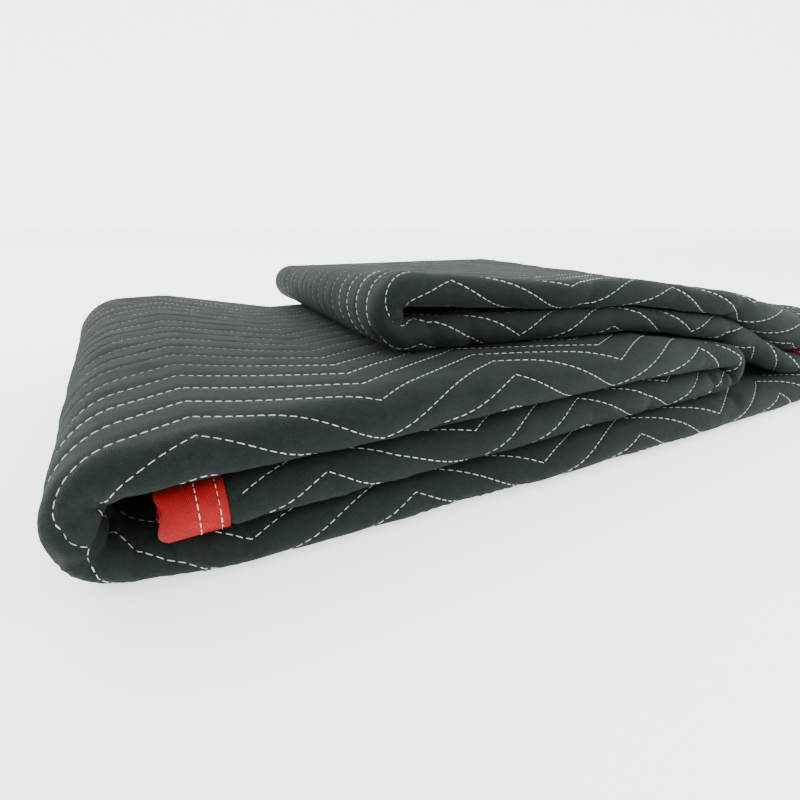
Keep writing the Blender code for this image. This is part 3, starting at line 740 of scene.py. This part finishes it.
def ring_mesh(name, rings, weave, caps):
    """A closed mesh through rings of points. Its UV map holds the cloth's own (length, run) in metres."""
    rings = np.asarray(rings)
    rows, count = rings.shape[:2]
    index = np.arange(rows * count).reshape(rows, count)
    a, b = index[:-1], np.roll(index, -1, axis=1)[:-1]
    c, d = np.roll(index, -1, axis=1)[1:], index[1:]
    faces = np.stack([a, d, c, b], -1).reshape(-1, 4).tolist()
    for cap in caps:
        faces.append([int(index[0][i]) for i in cap])
        faces.append([int(index[-1][i]) for i in cap[::-1]])
    mesh = bpy.data.meshes.new(name)
    mesh.from_pydata(rings.reshape(-1, 3).tolist(), [], faces)
    mesh.update()
    layer = mesh.uv_layers.new(name="weave")
    corners = np.zeros(len(mesh.loops), int)
    mesh.loops.foreach_get("vertex_index", corners)
    layer.data.foreach_set("uv", np.asarray(weave).reshape(-1, 2)[corners].astype(np.float32).ravel())
    bm = bmesh.new()
    bm.from_mesh(mesh)
    if bm.calc_volume(signed=True) < 0:
        bmesh.ops.reverse_faces(bm, faces=bm.faces)
        bm.to_mesh(mesh)
    bm.free()
    mesh.shade_smooth()
    return mesh


def add_piece(name, mesh, material):
    piece = bpy.data.objects.new(name, mesh)
    bpy.context.scene.collection.objects.link(piece)
    mesh.materials.append(material)
    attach(piece, "root")
    return piece


def cloth_mesh(stations, points):
    rings, weave = [], []
    for station, face_points in zip(stations, points):
        ring, runs = fine_section(station, face_points)
        rings.append(to_frame(ring))
        weave.append(np.stack([np.full(len(runs), station.length), runs], 1))
    return ring_mesh("pad_cloth", rings, weave, [list(range(len(rings[0])))])


def thread_mesh(name, threads):
    """Low ridges of thread, each through four (place, way out) samples."""
    verts, faces = [], []
    for places, outs in threads:
        ahead = places[-1] - places[0]
        ahead = ahead / max(np.linalg.norm(ahead), 1e-9)
        base = len(verts)
        for place, out, height in zip(places, outs, STITCH_HEIGHTS):
            side = np.cross(ahead, out)
            side = side / max(np.linalg.norm(side), 1e-9) * STITCH_WIDTH * (0.3 + 0.2 * height)
            low = place - out * STITCH_FOOT
            verts += [low - side, place + out * STITCH_RISE * height, low + side]
        for k in range(3):
            p = base + 3 * k
            faces += [(p, p + 1, p + 4, p + 3), (p + 1, p + 2, p + 5, p + 4)]
        faces += [(base, base + 2, base + 1), (base + 9, base + 10, base + 11)]
    mesh = bpy.data.meshes.new(name)
    mesh.from_pydata([tuple(v) for v in to_frame(verts)], [], faces)
    mesh.update()
    mesh.shade_smooth()
    return mesh


def threads_along(places, outs, pitch, length, start):
    """Stitches laid by true length along a line of places, as samples for thread_mesh."""
    steps = np.linalg.norm(np.diff(places, axis=0), axis=1)
    travelled = np.concatenate([[0.0], np.cumsum(steps)])
    found = []
    for first in np.arange(start, travelled[-1] - length, pitch):
        at = first + length * STITCH_SPOTS
        place = np.stack([np.interp(at, travelled, axis) for axis in places.T], 1)
        out = np.stack([np.interp(at, travelled, axis) for axis in outs.T], 1)
        found.append((place, out / np.linalg.norm(out, axis=1, keepdims=True)))
    return found


def bare(station, u):
    """Whether stitches can be seen here: near the ridge, and on any face that isn't pressed."""
    place = in_world(station.length, station.line.at(np.array([station.line.ridge + u]), CLOTH / 2))[0]
    return -SEEN_UNDER < u and (u < SEEN_UNDER or station.freedom(u, place[0], place[1]) > 0.02)


def row_threads(stations, runs, points, ways):
    """The stitches of every row, in stretches where they can be seen."""
    found = []
    for row in range(FIRST_ROW, LAST_ROW + 1):
        places, outs = [], []
        for station, u, point, way in zip(stations, runs, points, ways):
            at = ROW_A + row * ROW_STEP + station.shift
            hidden = station.bound or at > station.top - 0.002 or not bare(station, at)
            if not hidden:
                out = np.array([np.interp(at, u, axis) for axis in way.T])
                place = np.array([np.interp(at, u, axis) for axis in point.T])
                places.append(place - out * FAR_SINK * smooth((at - FAR_SINK_FROM) / FAR_SINK_BLEND))
                outs.append(out)
            if (hidden or station is stations[-1]) and len(places) > 2:
                found += threads_along(np.array(places), np.array(outs), STITCH_PITCH, STITCH_LENGTH,
                                       STITCH_START + STITCH_STAGGER * (row % 3))
            if hidden:
                places, outs = [], []
    return found


# The binding: finer tape over the same edges as in the solids
TAPE_OUTSIDE = EDGE_CLOTH / 2 + TAPE_GAP + TAPE
TAPE_INSIDE = EDGE_CLOTH / 2 + TAPE_GAP


def tape_face(height, past_edge):
    """One face of the tape's section, from its sewn edge round the cloth's edge, as (inset, height)."""
    half = [(TAPE_WIDTH, height), (TAPE_MIDDLE, height), (TAPE_BEND, height), (-past_edge, height * 0.4)]
    return half + [(inset, -h) for inset, h in half[::-1]]


TAPE_CORNERS = tape_face(TAPE_OUTSIDE, TAPE_GAP + TAPE) + tape_face(TAPE_INSIDE, TAPE_GAP)[::-1]
TAPE_CAPS = [(i, i + 1, 14 - i, 15 - i) for i in range(7)]

# How many points the tape has on each piece of the section after the first
FIRST_PANEL_POINTS = 14
TAPE_POINTS = (25, 24, 9, 12, 9, 12, 7, 12, 6, 12)


def tape_runs(length):
    line = Station(length).line
    runs = list(np.linspace(0, line.starts[1], FIRST_PANEL_POINTS)[:-1])
    for piece, count in enumerate(TAPE_POINTS, 1):
        runs += line.shares(piece, count)[:-1]
    return np.array(runs + [line.run[-1]])


def end_tape_points(edge, inward, inset, height, runs_for):
    """Points of an end's tape at one inset from the cloth's edge and one height off its middle."""
    length = edge + inward * inset
    held = float(np.clip(length, 0, PAD_LENGTH))
    runs = runs_for(held)
    swelling = np.array([uneven(run * 170, inset * 130, 5.0) for run in runs]) + 0.6
    off = height + (TAPE_SWELLING * swelling if height >= TAPE_OUTSIDE else 0.0)
    points = in_world(held, Station(held).line.at(runs, np.full(len(runs), off)))
    ragged = TAPE_RAGGED * np.array([uneven(run * 120, edge, 9.0) for run in runs])
    ragged *= smooth((TAPE_MIDDLE - inset) / TAPE_MIDDLE)
    near, far = PATH.at(edge), PATH.at(edge + inward * 0.002)
    way = np.array([near.x - far.x, 0, near.z - far.z])
    return points + way / np.linalg.norm(way) * (abs(length - held) + ragged[:, None])


def tape_weave(lengths, shape):
    """The tape's own (length, place across) for its UV map, with its two faces apart."""
    across = np.array([inset + (TAPE_BACK_WEAVE if height < 0 else 0) for inset, height in TAPE_CORNERS])
    lengths = np.asarray(lengths)[:, None]
    return np.stack([np.broadcast_to(lengths, shape), np.broadcast_to(across[None], shape)], -1)


def end_tape(name, edge, inward):
    sections = [end_tape_points(edge, inward, inset, height, tape_runs) for inset, height in TAPE_CORNERS]
    rings = to_frame(np.array(sections).transpose(1, 0, 2))
    return ring_mesh(name, rings, tape_weave(tape_runs(edge), rings.shape[:2]), TAPE_CAPS)


def side_tape(name, lengths, at_first_edge):
    clear = TAPE_WIDTH + TAPE_JOIN
    lengths = [clear] + [s for s in lengths[::2] if clear + 0.002 < s < PAD_LENGTH - clear - 0.002]
    lengths += [PAD_LENGTH - clear]
    rings = []
    for length in lengths:
        station = Station(length)
        ring = []
        for inset, height in TAPE_CORNERS:
            run = inset if at_first_edge else station.end - inset
            point = station.line.at(np.clip(run, 0, station.end), height)
            ring.append(point + np.array([max(0.0, -inset), 0.0]))
        rings.append(in_world(length, ring))
    rings = to_frame(rings)
    return ring_mesh(name, rings, tape_weave(lengths, rings.shape[:2]), TAPE_CAPS)


def end_threads(edge, inward):
    """Two rows of stitches across the end's tape, round the ridge where they show."""
    found = []

    def runs_for(length):
        line = Station(length).line
        return line.ridge + np.linspace(-BINDING_REACH, BINDING_REACH, 90)

    for inset in BINDING_ROWS:
        low = end_tape_points(edge, inward, inset, TAPE_OUTSIDE, runs_for)
        high = end_tape_points(edge, inward, inset, TAPE_OUTSIDE + 0.001, runs_for)
        found += threads_along(low, (high - low) / 0.001, BINDING_PITCH, BINDING_STITCH, STITCH_START / 2)
    return found


def principled(name, colour, roughness):
    made = bpy.data.materials.new(name)
    made.use_nodes = True
    nodes, links = made.node_tree.nodes, made.node_tree.links
    shader = nodes["Principled BSDF"]
    shader.inputs["Base Color"].default_value = (*colour, 1)
    shader.inputs["Roughness"].default_value = roughness
    return made, nodes, links, shader


def calculated(nodes, links, operation, a, b=None):
    node = nodes.new("ShaderNodeMath")
    node.operation = operation
    for socket, value in zip(node.inputs, (a, b)):
        if value is None:
            continue
        if isinstance(value, (int, float)):
            socket.default_value = value
        else:
            links.new(value, socket)
    return node.outputs[0]


def cloth_coordinates(nodes, links):
    uv = nodes.new("ShaderNodeUVMap")
    uv.uv_map = "weave"
    split = nodes.new("ShaderNodeSeparateXYZ")
    links.new(uv.outputs[0], split.inputs[0])
    return split.outputs[0], split.outputs[1]


def fuzz(nodes, links, scale, detail):
    coordinates = nodes.new("ShaderNodeTexCoord")
    texture = nodes.new("ShaderNodeTexNoise")
    texture.inputs["Scale"].default_value = scale
    texture.inputs["Detail"].default_value = detail
    links.new(coordinates.outputs["Object"], texture.inputs["Vector"])
    return texture.outputs["Fac"]


def pulled(nodes, links, along, across):
    """Fine wrinkles that run along the rows."""
    place = nodes.new("ShaderNodeCombineXYZ")
    links.new(calculated(nodes, links, "MULTIPLY", along, WRINKLES_ALONG), place.inputs[0])
    links.new(calculated(nodes, links, "MULTIPLY", across, WRINKLES_ACROSS), place.inputs[1])
    texture = nodes.new("ShaderNodeTexNoise")
    texture.inputs["Scale"].default_value = 1.0
    texture.inputs["Detail"].default_value = 2.0
    links.new(place.outputs[0], texture.inputs["Vector"])
    return texture.outputs["Fac"]


def colour_by(nodes, links, shader, value, low, high, dark, light):
    ramp = nodes.new("ShaderNodeValToRGB")
    ramp.color_ramp.elements[0].position = low
    ramp.color_ramp.elements[0].color = (*dark, 1)
    ramp.color_ramp.elements[1].position = high
    ramp.color_ramp.elements[1].color = (*light, 1)
    links.new(value, ramp.inputs["Fac"])
    links.new(ramp.outputs["Color"], shader.inputs["Base Color"])


def bumped(nodes, links, shader, height, strength, distance):
    bump = nodes.new("ShaderNodeBump")
    bump.inputs["Strength"].default_value = strength
    bump.inputs["Distance"].default_value = distance
    links.new(height, bump.inputs["Height"])
    links.new(bump.outputs[0], shader.inputs["Normal"])


def crossed_waves(nodes, links, a, b, pitch_a, pitch_b):
    waves = []
    for place, pitch in ((a, pitch_a), (b, pitch_b)):
        turned = calculated(nodes, links, "MULTIPLY", place, float(2 * np.pi / pitch))
        waves.append(calculated(nodes, links, "SINE", turned))
    return calculated(nodes, links, "MULTIPLY", *waves)


def pad_material():
    made, nodes, links, shader = principled("black_quilted_cloth", (0.013, 0.0145, 0.014), 0.85)
    along, across = cloth_coordinates(nodes, links)
    sums = calculated(nodes, links, "ADD", along, across)
    gaps = calculated(nodes, links, "SUBTRACT", along, across)
    weave = crossed_waves(nodes, links, sums, gaps, PAD_PITCH, PAD_PITCH)
    fine, wide = fuzz(nodes, links, 300.0, 3.0), fuzz(nodes, links, 16.0, 4.0)
    height = calculated(nodes, links, "ADD", calculated(nodes, links, "MULTIPLY", weave, 0.7),
                        calculated(nodes, links, "MULTIPLY", fine, 0.7))
    wrinkles = calculated(nodes, links, "MULTIPLY", pulled(nodes, links, along, across), WRINKLE_HEIGHT)
    height = calculated(nodes, links, "ADD", height, wrinkles)
    bumped(nodes, links, shader, height, 0.5, 0.00025)
    tone = calculated(nodes, links, "ADD", calculated(nodes, links, "MULTIPLY", weave, 0.2),
                      calculated(nodes, links, "ADD", calculated(nodes, links, "MULTIPLY", wide, 0.5),
                                 calculated(nodes, links, "MULTIPLY", fine, 0.5)))
    colour_by(nodes, links, shader, tone, 0.25, 0.85, *BLACK)
    shader.inputs["Sheen Weight"].default_value = 0.04
    shader.inputs["Sheen Roughness"].default_value = 0.5
    shader.inputs["Sheen Tint"].default_value = (0.72, 0.86, 0.82, 1)
    shader.inputs["Specular IOR Level"].default_value = 0.1
    return made


def tape_material():
    made, nodes, links, shader = principled("red_binding_tape", (0.42, 0.006, 0.010), 0.7)
    along, across = cloth_coordinates(nodes, links)
    weave = crossed_waves(nodes, links, along, across, TAPE_PITCH, TAPE_PITCH_ACROSS)
    fine = fuzz(nodes, links, 180.0, 2.0)
    bumped(nodes, links, shader, calculated(nodes, links, "ADD", weave, fine), 0.5, 0.0003)
    tone = calculated(nodes, links, "ADD", calculated(nodes, links, "MULTIPLY", weave, 0.2), fine)
    colour_by(nodes, links, shader, tone, 0.2, 0.8, *RED)
    shader.inputs["Specular IOR Level"].default_value = 0.2
    return made


def thread_material():
    made, nodes, links, shader = principled("white_thread", (0.72, 0.72, 0.70), 0.6)
    fine = fuzz(nodes, links, 900.0, 2.0)
    colour_by(nodes, links, shader, fine, 0.1, 0.9, *WHITE)
    bumped(nodes, links, shader, fine, 0.4, 0.0002)
    return made


def add_pad():
    black, red, white = pad_material(), tape_material(), thread_material()
    stations = [Station(length) for length in fine_lengths()]
    runs, points, ways = face_grid(stations)
    cloth = add_piece("pad_cloth", cloth_mesh(stations, points), black)
    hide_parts("pad")
    threads = row_threads(stations, runs, points, ways)
    share = len(threads) // 2 + 1
    for i in range(2):
        mesh = thread_mesh("row_stitches_%d" % i, threads[i * share:(i + 1) * share])
        add_piece(mesh.name, mesh, white)
    lengths = [station.length for station in stations]
    for node, mesh in (("binding_end_a", end_tape("tape_end_a", 0.0, 1)),
                       ("binding_end_b", end_tape("tape_end_b", PAD_LENGTH, -1)),
                       ("binding_side_a", side_tape("tape_side_a", lengths, True)),
                       ("binding_side_b", side_tape("tape_side_b", lengths, False))):
        tape = add_piece(mesh.name, mesh, red)
        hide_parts(node)
    for letter, edge, inward in (("a", 0.0, 1), ("b", PAD_LENGTH, -1)):
        mesh = thread_mesh("binding_stitches_%s" % letter, end_threads(edge, inward))
        add_piece(mesh.name, mesh, white)


def glowing_white(name, glow):
    made, nodes, links, shader = principled(name, STAGE_WHITE, 0.9)
    shader.inputs["Emission Color"].default_value = (1, 1, 1, 1)
    shader.inputs["Emission Strength"].default_value = glow
    return made


def add_stage():
    bpy.ops.mesh.primitive_plane_add(size=FLOOR_SIZE, location=(0, 0, 0))
    floor = bpy.context.object
    floor.name = "floor"
    floor.data.materials.append(glowing_white("pale_floor", FLOOR_GLOW))
    behind = (BACKDROP_AWAY * np.sin(YAW), BACKDROP_AWAY * np.cos(YAW), BACKDROP_SIZE[1] / 2)
    bpy.ops.mesh.primitive_plane_add(size=1, location=behind, rotation=(np.pi / 2, 0, -YAW))
    backdrop = bpy.context.object
    backdrop.name = "backdrop"
    backdrop.scale = (*BACKDROP_SIZE, 1)
    backdrop.data.materials.append(glowing_white("white_backdrop", BACKDROP_GLOW))
    world = bpy.data.worlds.new("studio")
    bpy.context.scene.world = world
    world.use_nodes = True
    world.node_tree.nodes["Background"].inputs[0].default_value = (1, 1, 1, 1)
    world.node_tree.nodes["Background"].inputs[1].default_value = WORLD_LIGHT
    for given in LIGHTS:
        light = bpy.data.lights.new(given.name, "AREA")
        light.size = given.size
        light.energy = given.power
        lamp = bpy.data.objects.new(given.name, light)
        lamp.location = given.place
        lamp.rotation_euler = (Vector(given.place) * -1).to_track_quat("-Z", "Y").to_euler()
        bpy.context.scene.collection.objects.link(lamp)


def add_camera():
    ahead = Vector((np.sin(YAW) * np.cos(PITCH), np.cos(YAW) * np.cos(PITCH), -np.sin(PITCH)))
    right = Vector((np.cos(YAW), -np.sin(YAW), 0))
    upwards = right.cross(ahead)
    data = bpy.data.cameras.new("camera")
    data.sensor_width = 36
    data.lens = FOCAL_PIXELS / FRAME_PIXELS * data.sensor_width
    data.clip_start = 0.01
    camera = bpy.data.objects.new("camera", data)
    aim = Matrix((right, upwards, -ahead)).transposed().to_4x4()
    aim.translation = Vector(to_frame(CAMERA_PLACE))
    camera.matrix_world = aim
    bpy.context.scene.collection.objects.link(camera)
    bpy.context.scene.camera = camera


add_pad()
add_stage()
add_camera()
